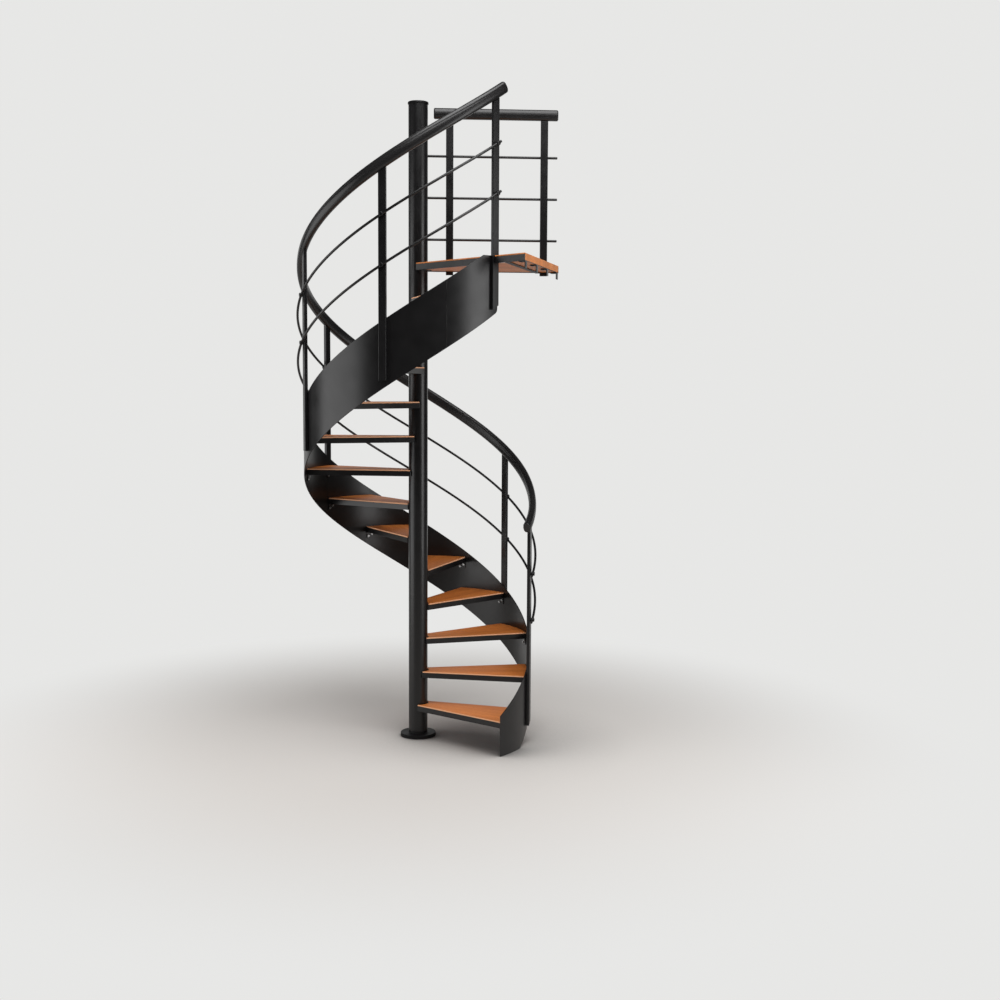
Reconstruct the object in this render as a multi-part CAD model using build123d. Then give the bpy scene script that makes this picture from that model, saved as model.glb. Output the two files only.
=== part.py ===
from build123d import *
import os
from math import asin, atan2, cos, degrees, radians, sin, sqrt

# A spiral staircase of steel and wood that climbs counter-clockwise, seen from above, round a
# central column. Origin: the column's axis where its base flange meets the floor. +Z is up, +X
# runs along the landing's back edge, and the camera side is -Y. Lengths in mm, angles in degrees.

# Climb
RISE = 210.0
TREAD_COUNT = 13
TREAD_ANGLE = 27.1
FIRST_NOSING_ANGLE = -41.1
GUARD_HEIGHT = 934.0
GUARD_LOSS = 37.0
LANDING_GUARD_HEIGHT = 912.0

# Column and its base
COLUMN_RADIUS = 59.0
COLUMN_WALL = 4.0
BASE_FLANGE_RADIUS = 110.0
BASE_FLANGE_THICKNESS = 22.0
CAP_RIM_HEIGHT = 12.0
CAP_OVERHANG = 4.0
CAP_PLUG_DEPTH = 30.0
CAP_ABOVE_GUARD = 40.0

# Treads
TREAD_WEDGE = 20.7
FRONT_OFFSET = 54.0
REAR_OFFSET = 55.0
BOARD_THICKNESS = 37.0
BOARD_PROUD = 8.0
BOARD_SETBACK = 1.0
FLANGE_THICKNESS = 5.0
LEDGE_WIDTH = 12.0
LEDGE_THICKNESS = 3.0
SADDLE_THICKNESS = 6.5
LUG_WIDTH = 46.0
LUG_DROP = 38.0

# Stringer
STAIR_RADIUS = 700.0
STRINGER_THICKNESS = 5.0
STRINGER_ABOVE = 37.0
STRINGER_BELOW = 346.0
FOOT_AHEAD = 3.0
HEAD_BEYOND_NOSING = 44.0
HEAD_CORNER_RADIUS = 16.0
SECTION_TREADS = 5
JOINT_GAP = 0.8

# Balustrade
POST_WIDTH = 45.0
POST_DEPTH = 20.0
POST_CORNER = 3.0
POST_COUNT = 7
POST_TREADS = 2
POST_BEYOND_NOSING = 14.0
POST_BELOW_NOSING = 303.0
RAIL_WIDTH = 46.0
RAIL_HEIGHT = 66.0
RAIL_CORNER = 22.0
RAIL_OVERHANG = 72.0
RAIL_END_RADIUS = 12.0
RAIL_EASING_ANGLE = 35.0
RAIL_END_LIFT = 24.0
RAIL_POINT_ANGLE = 7.0
ROD_DIAMETER = 15.0
ROD_STANDOFF = 10.5
ROD_LINES = ((343.5, 6.0), (628.0, 13.0))
ROD_OVERHANG = 27.0
HOLDER_DIAMETER = 24.0
HOLDER_BEYOND_ROD = 12.5

# Landing
LANDING_ANGLE = 48.8
LANDING_FRONT = 960.0
LANDING_BACK = 868.0
LANDING_BOARD_THICKNESS = 41.0
CROSS_BAR_WIDTH = 30.0
CROSS_BAR_THICKNESS = 6.0
CROSS_BAR_INBOARD = 120.0
CLEAT_COUNT = 4
CLEAT_LEG = 40.0
CLEAT_THICKNESS = 5.0
CLEAT_LENGTH = 40.0
CLEAT_SETBACK = 14.0
NOTCH_CLEARANCE = 2.0
LANDING_POST_PLACES = (193.0, 774.0)
LANDING_POST_DROP = 18.0
LANDING_ROD_HEIGHTS = (155.0, 408.0, 660.0)
LANDING_RAIL_START = 95.0
LANDING_ROD_START = 20.0
LANDING_ROD_END = 858.0

# Clearance between curved faces that seat on each other
SEAT = 0.3

# Worked out from the values above
LANDING_LEVEL = RISE * (TREAD_COUNT + 1)
FRAME_DEPTH = BOARD_THICKNESS + LEDGE_THICKNESS
LANDING_FRAME_DEPTH = LANDING_BOARD_THICKNESS + LEDGE_THICKNESS
STRINGER_INNER = STAIR_RADIUS - STRINGER_THICKNESS
TREAD_END_RADIUS = STRINGER_INNER - SEAT
SADDLE_INNER = COLUMN_RADIUS + SEAT
SADDLE_OUTER = SADDLE_INNER + SADDLE_THICKNESS
POST_INNER = STAIR_RADIUS + SEAT
POST_RADIUS = POST_INNER + POST_DEPTH / 2
ROD_RADIUS = POST_INNER + POST_DEPTH + ROD_STANDOFF
LANDING_NOSING_ANGLE = FIRST_NOSING_ANGLE + TREAD_COUNT * TREAD_ANGLE
LANDING_BACK_ANGLE = LANDING_NOSING_ANGLE + LANDING_ANGLE


def on_circle(radius, angle, z=0.0):
    """The point at a radius and an angle from the column's axis."""
    return Vector(radius * cos(radians(angle)), radius * sin(radians(angle)), z)


def beside(angle, along, offset, z=0.0):
    """The point that lies along a direction and off to its left by an offset."""
    return on_circle(along, angle, z) + on_circle(offset, angle + 90)


def reach(radius, offset):
    """How far along its direction a line at an offset meets a circle."""
    return sqrt(radius**2 - offset**2)


def arc_angle(length, radius):
    """The angle that an arc of a length spans."""
    return degrees(length / radius)


FIRST_CORNER_ANGLE = FIRST_NOSING_ANGLE - degrees(asin(FRONT_OFFSET / STAIR_RADIUS))


def nosing_height(angle):
    """Height of the line through the outer corners of the treads' noses."""
    return RISE * (1 + (angle - FIRST_CORNER_ANGLE) / TREAD_ANGLE)


def nosing_angle(height):
    """Angle at which the line through the noses has a height."""
    return FIRST_CORNER_ANGLE + TREAD_ANGLE * (height / RISE - 1)


def ring_sector(inner, outer, start_angle, end_angle):
    """Flat piece of a ring between two angles."""
    middle = (start_angle + end_angle) / 2
    outline = [
        Line(on_circle(inner, start_angle), on_circle(outer, start_angle)),
        ThreePointArc(
            on_circle(outer, start_angle), on_circle(outer, middle), on_circle(outer, end_angle)
        ),
        Line(on_circle(outer, end_angle), on_circle(inner, end_angle)),
        ThreePointArc(
            on_circle(inner, end_angle), on_circle(inner, middle), on_circle(inner, start_angle)
        ),
    ]
    return make_face(outline)


def slab(face, bottom, top):
    """A flat outline made solid between two heights."""
    return Pos(0, 0, bottom) * extrude(face, amount=top - bottom, dir=(0, 0, 1))


def wedge(angle, inset=0.0):
    """Outline of a tread: two straight edges beside two directions, and two arcs."""
    front = FRONT_OFFSET - inset
    rear = REAR_OFFSET - inset
    inner = SADDLE_OUTER + inset
    outer = TREAD_END_RADIUS - inset
    rear_angle = angle + TREAD_WEDGE
    middle = angle + TREAD_WEDGE / 2
    front_inner = beside(angle, reach(inner, front), -front)
    front_outer = beside(angle, reach(outer, front), -front)
    rear_outer = beside(rear_angle, reach(outer, rear), rear)
    rear_inner = beside(rear_angle, reach(inner, rear), rear)
    outline = [
        Line(front_inner, front_outer),
        ThreePointArc(front_outer, on_circle(outer, middle), rear_outer),
        Line(rear_outer, rear_inner),
        ThreePointArc(rear_inner, on_circle(inner, middle), front_inner),
    ]
    return make_face(outline)


def corner_angles(angle, span, radius):
    """Angles at which the two straight edges of a tread meet a circle."""
    front = angle - degrees(asin(FRONT_OFFSET / radius))
    rear = angle + span + degrees(asin(REAR_OFFSET / radius))
    return front, rear


def saddle(angle, span, top, depth):
    """Curved plate that seats a tread on the column."""
    front, rear = corner_angles(angle, span, SADDLE_OUTER)
    plate = ring_sector(SADDLE_INNER, SADDLE_OUTER + FLANGE_THICKNESS / 2, front, rear)
    return slab(plate, top - depth, top - BOARD_PROUD)


def tread_board(number):
    """Wooden board, let into its frame, with a lip that covers the frame's upper edge."""
    angle = FIRST_NOSING_ANGLE + (number - 1) * TREAD_ANGLE
    top = number * RISE
    board = slab(wedge(angle, FLANGE_THICKNESS + SEAT), top - BOARD_THICKNESS, top)
    return board + slab(wedge(angle, BOARD_SETBACK), top - BOARD_PROUD, top)


def tread_frame(number):
    """Steel frame: flanges round the board, a ledge under it, a saddle and two lugs."""
    angle = FIRST_NOSING_ANGLE + (number - 1) * TREAD_ANGLE
    top = number * RISE
    bottom = top - FRAME_DEPTH
    frame = slab(wedge(angle), bottom, top - BOARD_PROUD)
    frame -= slab(wedge(angle, FLANGE_THICKNESS), bottom + LEDGE_THICKNESS, top)
    frame -= slab(wedge(angle, FLANGE_THICKNESS + LEDGE_WIDTH), bottom - 1, top)
    frame += saddle(angle, TREAD_WEDGE, top, FRAME_DEPTH)
    front, rear = corner_angles(angle, TREAD_WEDGE, TREAD_END_RADIUS)
    width = arc_angle(LUG_WIDTH, TREAD_END_RADIUS)
    lug_inner = TREAD_END_RADIUS - FLANGE_THICKNESS
    for start in (front, rear - width):
        lug = ring_sector(lug_inner, TREAD_END_RADIUS, start, start + width)
        frame += slab(lug, bottom - LUG_DROP, bottom + LEDGE_THICKNESS)
    return frame


def stringer_ribbon(start_angle, end_angle, bottom, top):
    """Helical plate between two angles, cut level at a bottom and a top height."""
    low = max(bottom, nosing_height(start_angle) - STRINGER_BELOW)
    high = min(top, nosing_height(end_angle) + STRINGER_ABOVE)
    first = nosing_angle(low - STRINGER_ABOVE)
    last = nosing_angle(low + STRINGER_BELOW)
    thick = ring_sector(
        STRINGER_INNER - STRINGER_THICKNESS, STAIR_RADIUS + STRINGER_THICKNESS, first, last
    )
    profile = Pos(0, 0, low) * thick
    turn = nosing_angle(high) - nosing_angle(low)
    ribbon = Solid.extrude_linear_with_rotation(
        profile.face(), (0, 0, low), (0, 0, high - low), turn
    )
    plate = slab(
        ring_sector(STRINGER_INNER, STAIR_RADIUS, start_angle, end_angle), low - 1, high + 1
    )
    return plate & ribbon


HEAD_ANGLE = nosing_angle(LANDING_LEVEL) + arc_angle(HEAD_BEYOND_NOSING, STAIR_RADIUS)
FOOT_ANGLE = FIRST_CORNER_ANGLE - arc_angle(FOOT_AHEAD, STAIR_RADIUS)


def stringer_joints():
    """Angles where the stringer's sections meet, counted down from its upper end."""
    last = FIRST_CORNER_ANGLE + arc_angle(FOOT_AHEAD, STAIR_RADIUS)
    angle = HEAD_ANGLE - TREAD_ANGLE
    joints = []
    while angle > last:
        joints.insert(0, angle)
        angle -= SECTION_TREADS * TREAD_ANGLE
    return [FOOT_ANGLE] + joints + [HEAD_ANGLE]


def stringer_head(section):
    """The uppermost section with its lower corner rounded."""
    middle = STAIR_RADIUS - STRINGER_THICKNESS / 2
    corner = on_circle(middle, HEAD_ANGLE, nosing_height(HEAD_ANGLE) - STRINGER_BELOW)
    edge = section.edges().sort_by_distance(corner)[0]
    return fillet(edge, HEAD_CORNER_RADIUS)


def stringer_sections():
    """The stringer's sections from the floor up, a hair apart at their joints."""
    joints = stringer_joints()
    gap = arc_angle(JOINT_GAP, STAIR_RADIUS)
    sections = []
    for start, end in zip(joints, joints[1:]):
        stop = end if end == HEAD_ANGLE else end - gap
        sections.append(stringer_ribbon(start, stop, 0.0, LANDING_LEVEL))
    sections[-1] = stringer_head(sections[-1])
    return sections


def post_angles():
    """Angles of the balustrade posts, two treads apart, by the treads' outer corners."""
    beyond = arc_angle(POST_BEYOND_NOSING, STAIR_RADIUS)
    first = FIRST_CORNER_ANGLE + TREAD_ANGLE + beyond
    return [first + POST_TREADS * TREAD_ANGLE * step for step in range(POST_COUNT)]


FIRST_POST_ANGLE = post_angles()[0]
GUARD_SPAN = post_angles()[-1] - FIRST_POST_ANGLE


def guard_height(angle, height, loss):
    """Height of a guard line: over the noses at the first post, less what it loses by the last."""
    return nosing_height(angle) + height - loss * (angle - FIRST_POST_ANGLE) / GUARD_SPAN


def rail_end_angles(overhang, radius):
    """Where a rail or rod starts and stops: past the first and last post."""
    angles = post_angles()
    beyond = arc_angle(overhang, radius)
    return angles[0] - beyond, angles[-1] + beyond


def post_prism(height):
    """Flat bar with rounded edges that stands on the origin."""
    outline = RectangleRounded(POST_DEPTH, POST_WIDTH, POST_CORNER)
    return extrude(outline, amount=height)


RAIL_START_ANGLE, RAIL_END_ANGLE = rail_end_angles(RAIL_OVERHANG, POST_RADIUS)


def rail_line_height(angle):
    """Height of the handrail's middle, which eases off towards its lower end."""
    eased = max(0.0, 1 - (angle - RAIL_START_ANGLE) / RAIL_EASING_ANGLE)
    return guard_height(angle, GUARD_HEIGHT, GUARD_LOSS) + RAIL_END_LIFT * eased**2


def rail_slope(angle):
    """Slope of the handrail over a small step round an angle."""
    climb = rail_line_height(angle + 1) - rail_line_height(angle - 1)
    return degrees(atan2(climb, radians(2) * POST_RADIUS))


def stair_post(angle):
    """Flat post on the stringer's outer face, its top cut to the handrail's slope."""
    slope = rail_slope(angle)
    bottom = nosing_height(angle) - POST_BELOW_NOSING
    top = rail_line_height(angle) - RAIL_HEIGHT / 2 / cos(radians(slope)) - SEAT
    post = post_prism(top - bottom + POST_WIDTH)
    cutter = Pos(0, 0, top - bottom) * Rot(slope, 0, 0) * Pos(0, 0, POST_WIDTH)
    post -= cutter * Box(2 * POST_WIDTH, 4 * POST_WIDTH, 2 * POST_WIDTH)
    return Rot(0, 0, angle) * Pos(POST_RADIUS, 0, bottom) * post


def stair_posts():
    """The balustrade's posts, which stand apart."""
    return [stair_post(angle) for angle in post_angles()]


def across(path):
    """The plane across a climbing line's lower end, with its X axis pointing outwards."""
    start = path @ 0
    return Plane(origin=start, x_dir=Vector(start.X, start.Y, 0), z_dir=path % 0)


def rail_section():
    """Outline of the moulded handrail."""
    return RectangleRounded(RAIL_WIDTH, RAIL_HEIGHT, RAIL_CORNER)


def rounded_ends(rail):
    """A handrail with the rims of its end caps rounded."""
    sides = len(rail_section().edges())
    caps = [face for face in rail.faces() if len(face.edges()) == sides]
    return fillet([edge for cap in caps for edge in cap.edges()], RAIL_END_RADIUS)


def handrail():
    """Moulded handrail along the tops of the posts, kept upright by a line above its own."""
    span = RAIL_END_ANGLE - RAIL_START_ANGLE
    steps = round(span / RAIL_POINT_ANGLE)
    angles = [RAIL_START_ANGLE + span * step / steps for step in range(steps + 1)]
    points = [on_circle(POST_RADIUS, angle, rail_line_height(angle)) for angle in angles]
    middle = Spline(points)
    above = Spline([point + Vector(0, 0, RAIL_HEIGHT) for point in points])
    return rounded_ends(sweep(across(middle) * rail_section(), path=middle, binormal=above))


def stair_rod(height, loss):
    """Round rod that runs outside the posts."""
    start, end = rail_end_angles(ROD_OVERHANG, ROD_RADIUS)
    bottom = guard_height(start, height, loss)
    climb = guard_height(end, height, loss) - bottom
    line = Helix(pitch=climb * 360 / (end - start), height=climb, radius=ROD_RADIUS)
    line = Pos(0, 0, bottom) * Rot(0, 0, start) * line
    return sweep(across(line) * Circle(ROD_DIAMETER / 2), path=line, is_frenet=True)


def holder(slope):
    """Round holder from the post's face outwards, bored for a rod at the origin along Y."""
    length = ROD_STANDOFF + HOLDER_BEYOND_ROD
    outward = Pos(HOLDER_BEYOND_ROD - length / 2, 0, 0) * Rot(0, 90, 0)
    bore = Rot(90 + slope, 0, 0) * Cylinder(ROD_DIAMETER / 2 + SEAT, 2 * HOLDER_DIAMETER)
    return outward * Cylinder(HOLDER_DIAMETER / 2, length) - bore


def rod_clamps():
    """One round holder for each rod on each post."""
    clamps = []
    for angle in post_angles():
        for height, loss in ROD_LINES:
            middle = guard_height(angle, height, loss)
            climb = guard_height(angle + 1, height, loss) - middle
            slope = degrees(atan2(climb, radians(1) * ROD_RADIUS))
            clamps.append(Rot(0, 0, angle) * Pos(ROD_RADIUS, 0, middle) * holder(slope))
    return clamps


def landing_outline(inset=0.0, beyond=0.0):
    """Outline of the landing: straight front and back edges and a straight floor edge."""
    front = FRONT_OFFSET - inset
    rear = REAR_OFFSET - inset
    inner = SADDLE_OUTER + inset
    middle = LANDING_NOSING_ANGLE + LANDING_ANGLE / 2
    front_inner = beside(LANDING_NOSING_ANGLE, reach(inner, front), -front)
    front_outer = beside(LANDING_NOSING_ANGLE, LANDING_FRONT + beyond, -front)
    rear_outer = beside(LANDING_BACK_ANGLE, LANDING_BACK + beyond, rear)
    rear_inner = beside(LANDING_BACK_ANGLE, reach(inner, rear), rear)
    outline = [
        Line(front_inner, front_outer),
        Line(front_outer, rear_outer),
        Line(rear_outer, rear_inner),
        ThreePointArc(rear_inner, on_circle(inner, middle), front_inner),
    ]
    return make_face(outline)


def landing_notch():
    """Room that the landing leaves round the stringer's upper end and the last post."""
    last_post = post_angles()[-1]
    half = arc_angle(POST_WIDTH / 2 + NOTCH_CLEARANCE, POST_INNER)
    notch = ring_sector(
        STRINGER_INNER - NOTCH_CLEARANCE,
        POST_INNER + POST_DEPTH + NOTCH_CLEARANCE,
        last_post - 3 * half,
        HEAD_ANGLE + arc_angle(NOTCH_CLEARANCE, STRINGER_INNER),
    )
    return slab(notch, LANDING_LEVEL - 2 * LANDING_FRAME_DEPTH, LANDING_LEVEL + 1)


def landing_board():
    """Wooden panel of the landing, with a lip over its frame like a tread's."""
    outline = landing_outline(FLANGE_THICKNESS + SEAT) & landing_outline()
    panel = slab(outline, LANDING_LEVEL - LANDING_BOARD_THICKNESS, LANDING_LEVEL)
    lip = landing_outline(BOARD_SETBACK) & landing_outline()
    panel += slab(lip, LANDING_LEVEL - BOARD_PROUD, LANDING_LEVEL)
    return panel - landing_notch()


def floor_edge():
    """The landing's floor edge as a start, an end and its direction."""
    start = beside(LANDING_NOSING_ANGLE, LANDING_FRONT, -FRONT_OFFSET)
    end = beside(LANDING_BACK_ANGLE, LANDING_BACK, REAR_OFFSET)
    return start, end, (end - start).normalized()


def cross_bar():
    """Flat bar under the panel, parallel to the floor edge."""
    start, end, run = floor_edge()
    inward = Vector(-run.Y, run.X, 0)
    middle = (start + end) * 0.5 + inward * CROSS_BAR_INBOARD
    bar = Box((end - start).length * 2, CROSS_BAR_WIDTH, CROSS_BAR_THICKNESS)
    angle = degrees(atan2(run.Y, run.X))
    drop = LANDING_LEVEL - LANDING_BOARD_THICKNESS - CROSS_BAR_THICKNESS / 2
    bar = Pos(middle.X, middle.Y, drop) * Rot(0, 0, angle) * bar
    return bar & slab(landing_outline(), LANDING_LEVEL - 2 * LANDING_FRAME_DEPTH, LANDING_LEVEL)


def floor_cleats():
    """Short angle cleats along the floor edge that fix the landing to the upper floor."""
    start, end, run = floor_edge()
    angle = degrees(atan2(run.Y, run.X))
    top = LANDING_LEVEL - LANDING_FRAME_DEPTH
    spacing = ((end - start).length - CLEAT_LENGTH - 2 * CLEAT_SETBACK) / (CLEAT_COUNT - 1)
    cleats = []
    for step in range(CLEAT_COUNT):
        place = start + run * (CLEAT_SETBACK + CLEAT_LENGTH / 2 + step * spacing)
        leg = Pos(0, CLEAT_LEG / 2, -CLEAT_THICKNESS / 2) * Box(
            CLEAT_LENGTH, CLEAT_LEG, CLEAT_THICKNESS
        )
        leg += Pos(0, CLEAT_THICKNESS / 2, -CLEAT_LEG / 2) * Box(
            CLEAT_LENGTH, CLEAT_THICKNESS, CLEAT_LEG
        )
        cleats.append(Pos(place.X, place.Y, top) * Rot(0, 0, angle) * leg)
    return cleats


def landing_frame():
    """Steel frame of the landing: flanges, ledge, saddle and cross bar."""
    bottom = LANDING_LEVEL - LANDING_FRAME_DEPTH
    past = 2 * LANDING_FRAME_DEPTH
    frame = slab(landing_outline(), bottom, LANDING_LEVEL - BOARD_PROUD)
    frame -= slab(landing_outline(FLANGE_THICKNESS, past), bottom + LEDGE_THICKNESS, LANDING_LEVEL)
    opening = landing_outline(FLANGE_THICKNESS + LEDGE_WIDTH, -LEDGE_WIDTH)
    frame -= slab(opening, bottom - 1, LANDING_LEVEL)
    frame += saddle(LANDING_NOSING_ANGLE, LANDING_ANGLE, LANDING_LEVEL, LANDING_FRAME_DEPTH)
    frame += cross_bar()
    return frame - landing_notch()


LANDING_BACK_FACE = REAR_OFFSET + SEAT


def landing_place(along, outward, height):
    """Place by the landing's back edge: along it, outside it and above the landing."""
    point = beside(LANDING_BACK_ANGLE, along, LANDING_BACK_FACE + outward, LANDING_LEVEL + height)
    return Pos(point.X, point.Y, point.Z) * Rot(0, 0, LANDING_BACK_ANGLE)


def landing_posts():
    """Flat posts on the outer face of the landing's back flange."""
    bottom = -LANDING_FRAME_DEPTH - LANDING_POST_DROP
    top = LANDING_GUARD_HEIGHT - RAIL_HEIGHT / 2 - SEAT
    posts = []
    for along in LANDING_POST_PLACES:
        place = landing_place(along, POST_DEPTH / 2, bottom)
        posts.append(place * Rot(0, 0, 90) * post_prism(top - bottom))
    return posts


def landing_rail():
    """Straight handrail of the landing guard."""
    length = LANDING_ROD_END - LANDING_RAIL_START
    place = landing_place(LANDING_RAIL_START, POST_DEPTH / 2, LANDING_GUARD_HEIGHT)
    section = Plane.YZ * rail_section()
    return place * rounded_ends(extrude(section, amount=length, dir=(1, 0, 0)))


def landing_rod(height):
    """Straight rod of the landing guard."""
    length = LANDING_ROD_END - LANDING_ROD_START
    place = landing_place(LANDING_ROD_START, POST_DEPTH + ROD_STANDOFF, height)
    return place * extrude(Plane.YZ * Circle(ROD_DIAMETER / 2), amount=length, dir=(1, 0, 0))


def landing_clamps():
    """One round holder for each rod on each landing post."""
    clamps = []
    for along in LANDING_POST_PLACES:
        for height in LANDING_ROD_HEIGHTS:
            place = landing_place(along, POST_DEPTH + ROD_STANDOFF, height)
            clamps.append(place * Rot(0, 0, 90) * holder(0))
    return clamps


def column_tube():
    """Central tube from the base flange to the guard's height above the landing."""
    top = LANDING_LEVEL + LANDING_GUARD_HEIGHT + CAP_ABOVE_GUARD
    outline = Circle(COLUMN_RADIUS) - Circle(COLUMN_RADIUS - COLUMN_WALL)
    return slab(outline, BASE_FLANGE_THICKNESS, top)


def base_flange():
    """Round plate on the floor, welded under the column."""
    return slab(Circle(BASE_FLANGE_RADIUS), 0.0, BASE_FLANGE_THICKNESS)


def column_cap():
    """Cap with a rim over the column's top and a plug inside it."""
    top = LANDING_LEVEL + LANDING_GUARD_HEIGHT + CAP_ABOVE_GUARD
    rim = slab(Circle(COLUMN_RADIUS + CAP_OVERHANG), top, top + CAP_RIM_HEIGHT)
    rim = fillet(rim.edges().group_by(Axis.Z)[-1], CAP_OVERHANG)
    plug = slab(Circle(COLUMN_RADIUS - COLUMN_WALL - SEAT), top - CAP_PLUG_DEPTH, top)
    return rim + plug


def save(name, shape):
    """Write one node, which may hold several solids."""
    pieces = shape if isinstance(shape, list) else [shape]
    solids = [solid for piece in pieces for solid in piece.solids()]
    whole = solids[0] if len(solids) == 1 else Compound(solids)
    export_step(whole, f"parts/{name}.step")


os.makedirs("parts", exist_ok=True)
save("base_flange", base_flange())
save("column_tube", column_tube())
save("column_cap", column_cap())
for number in range(1, TREAD_COUNT + 1):
    save(f"tread_board_{number:02d}", tread_board(number))
    save(f"tread_frame_{number:02d}", tread_frame(number))
for number, section in enumerate(stringer_sections(), start=1):
    save(f"stringer_{number}", section)
save("stair_posts", stair_posts())
save("handrail", handrail())
save("lower_rod", stair_rod(*ROD_LINES[0]))
save("upper_rod", stair_rod(*ROD_LINES[1]))
save("rod_clamps", rod_clamps())
save("landing_board", landing_board())
save("landing_frame", landing_frame())
save("floor_cleats", floor_cleats())
save("landing_posts", landing_posts())
save("landing_handrail", landing_rail())
save("landing_rods", [landing_rod(height) for height in LANDING_ROD_HEIGHTS])
save("landing_clamps", landing_clamps())
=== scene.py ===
from math import asin, atan, cos, degrees, pi, radians, sin, sqrt

import bmesh
import bpy
from mathutils import Matrix, Vector


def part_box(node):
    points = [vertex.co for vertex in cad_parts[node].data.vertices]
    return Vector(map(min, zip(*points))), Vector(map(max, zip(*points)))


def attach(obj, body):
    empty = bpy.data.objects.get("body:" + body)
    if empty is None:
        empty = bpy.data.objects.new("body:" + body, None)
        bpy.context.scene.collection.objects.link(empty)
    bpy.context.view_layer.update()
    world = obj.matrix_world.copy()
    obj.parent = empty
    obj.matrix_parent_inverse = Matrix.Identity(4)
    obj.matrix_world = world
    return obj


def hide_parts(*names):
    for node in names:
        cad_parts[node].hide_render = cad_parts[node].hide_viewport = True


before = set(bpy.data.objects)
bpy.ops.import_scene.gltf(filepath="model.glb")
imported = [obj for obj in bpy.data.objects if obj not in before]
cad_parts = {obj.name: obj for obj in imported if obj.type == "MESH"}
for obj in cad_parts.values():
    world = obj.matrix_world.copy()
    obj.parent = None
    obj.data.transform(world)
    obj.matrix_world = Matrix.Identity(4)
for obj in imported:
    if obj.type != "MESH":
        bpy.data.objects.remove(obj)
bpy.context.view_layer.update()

# Camera
# It stands eight metres in front of the stair and 2.2 metres above its floor, looks a little down
# and a little to the right, and leans by a third of a degree.
camera_place = Vector((0.0, -7.9625, 2.2163))
camera_yaw = radians(3.661)
camera_pitch = radians(5.203)
camera_roll = radians(0.328)
focal_length_pixels = 1284.1
picture_pixels = 1000
sensor_millimetres = 36.0

forward = Vector((
    sin(camera_yaw) * cos(camera_pitch),
    cos(camera_yaw) * cos(camera_pitch),
    -sin(camera_pitch),
))
level_right = Vector((cos(camera_yaw), -sin(camera_yaw), 0.0))
level_up = level_right.cross(forward)
camera_right = level_right * cos(camera_roll) + level_up * sin(camera_roll)
camera_up = level_up * cos(camera_roll) - level_right * sin(camera_roll)
camera_data = bpy.data.cameras.new("camera")
camera_data.sensor_width = sensor_millimetres
camera_data.lens = focal_length_pixels / picture_pixels * sensor_millimetres
camera = bpy.data.objects.new("camera", camera_data)
camera_turn = Matrix((camera_right, camera_up, -forward)).transposed()
camera.matrix_world = Matrix.Translation(camera_place) @ camera_turn.to_4x4()
bpy.context.scene.collection.objects.link(camera)
bpy.context.scene.camera = camera

# Base flange
# A round steel plate with a turned rim, anchored to the floor. The column is welded on it with one
# run of weld, and its black powder coat is scuffed dull by feet.
flange_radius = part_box("base_flange")[1].x
flange_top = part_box("base_flange")[1].z
flange_rim = 0.002
column_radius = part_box("column_tube")[1].x
weld_leg = 0.005
weld_root = 0.002
turned_sides = 96
coat_dark = (0.0035, 0.0033, 0.0036, 1)
coat_light = (0.0052, 0.0049, 0.0053, 1)
underside_facing = (-0.95, -0.6)
underside_roughness = 0.6
underside_shine = 0.22
usual_noise = (0.3, 0.7)


def put(tree, kind, inputs=(), **settings):
    """Adds a node to a tree, with its settings, its values and its links."""
    node = tree.nodes.new(kind)
    for name, value in settings.items():
        setattr(node, name, value)
    for key, value in dict(inputs).items():
        if isinstance(value, bpy.types.NodeSocket):
            tree.links.new(value, node.inputs[key])
        else:
            node.inputs[key].default_value = value
    return node


def new_material(name):
    """A new material, with its node tree and its shader."""
    material = bpy.data.materials.new(name)
    material.use_nodes = True
    return material, material.node_tree, material.node_tree.nodes["Principled BSDF"]


def remapped(tree, value, before, after, **settings):
    """Maps a value from one range to another, and holds it there."""
    names = ("From Min", "From Max", "To Min", "To Max")
    inputs = {"Value": value, **dict(zip(names, (*before, *after)))}
    return put(tree, "ShaderNodeMapRange", inputs, **settings).outputs[0]


def spread(tree, value, low, high):
    """Maps a noise value from its usual range to a range of its own."""
    return remapped(tree, value, usual_noise, (low, high))


def noise(tree, place, scale, detail=2.0, distortion=0.0):
    """Noise at a place."""
    inputs = {"Vector": place, "Scale": scale, "Detail": detail, "Distortion": distortion}
    return put(tree, "ShaderNodeTexNoise", inputs).outputs["Fac"]


def blended(tree, share, first, second):
    """A blend of two colors, which go into the sockets 6 and 7."""
    inputs = {0: share, 6: first, 7: second}
    return put(tree, "ShaderNodeMix", inputs, data_type="RGBA").outputs[2]


def bumped(tree, strength, distance, height):
    """A shader's normal, bumped by a height."""
    inputs = {"Strength": strength, "Distance": distance, "Height": height}
    return put(tree, "ShaderNodeBump", inputs).outputs[0]


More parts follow.
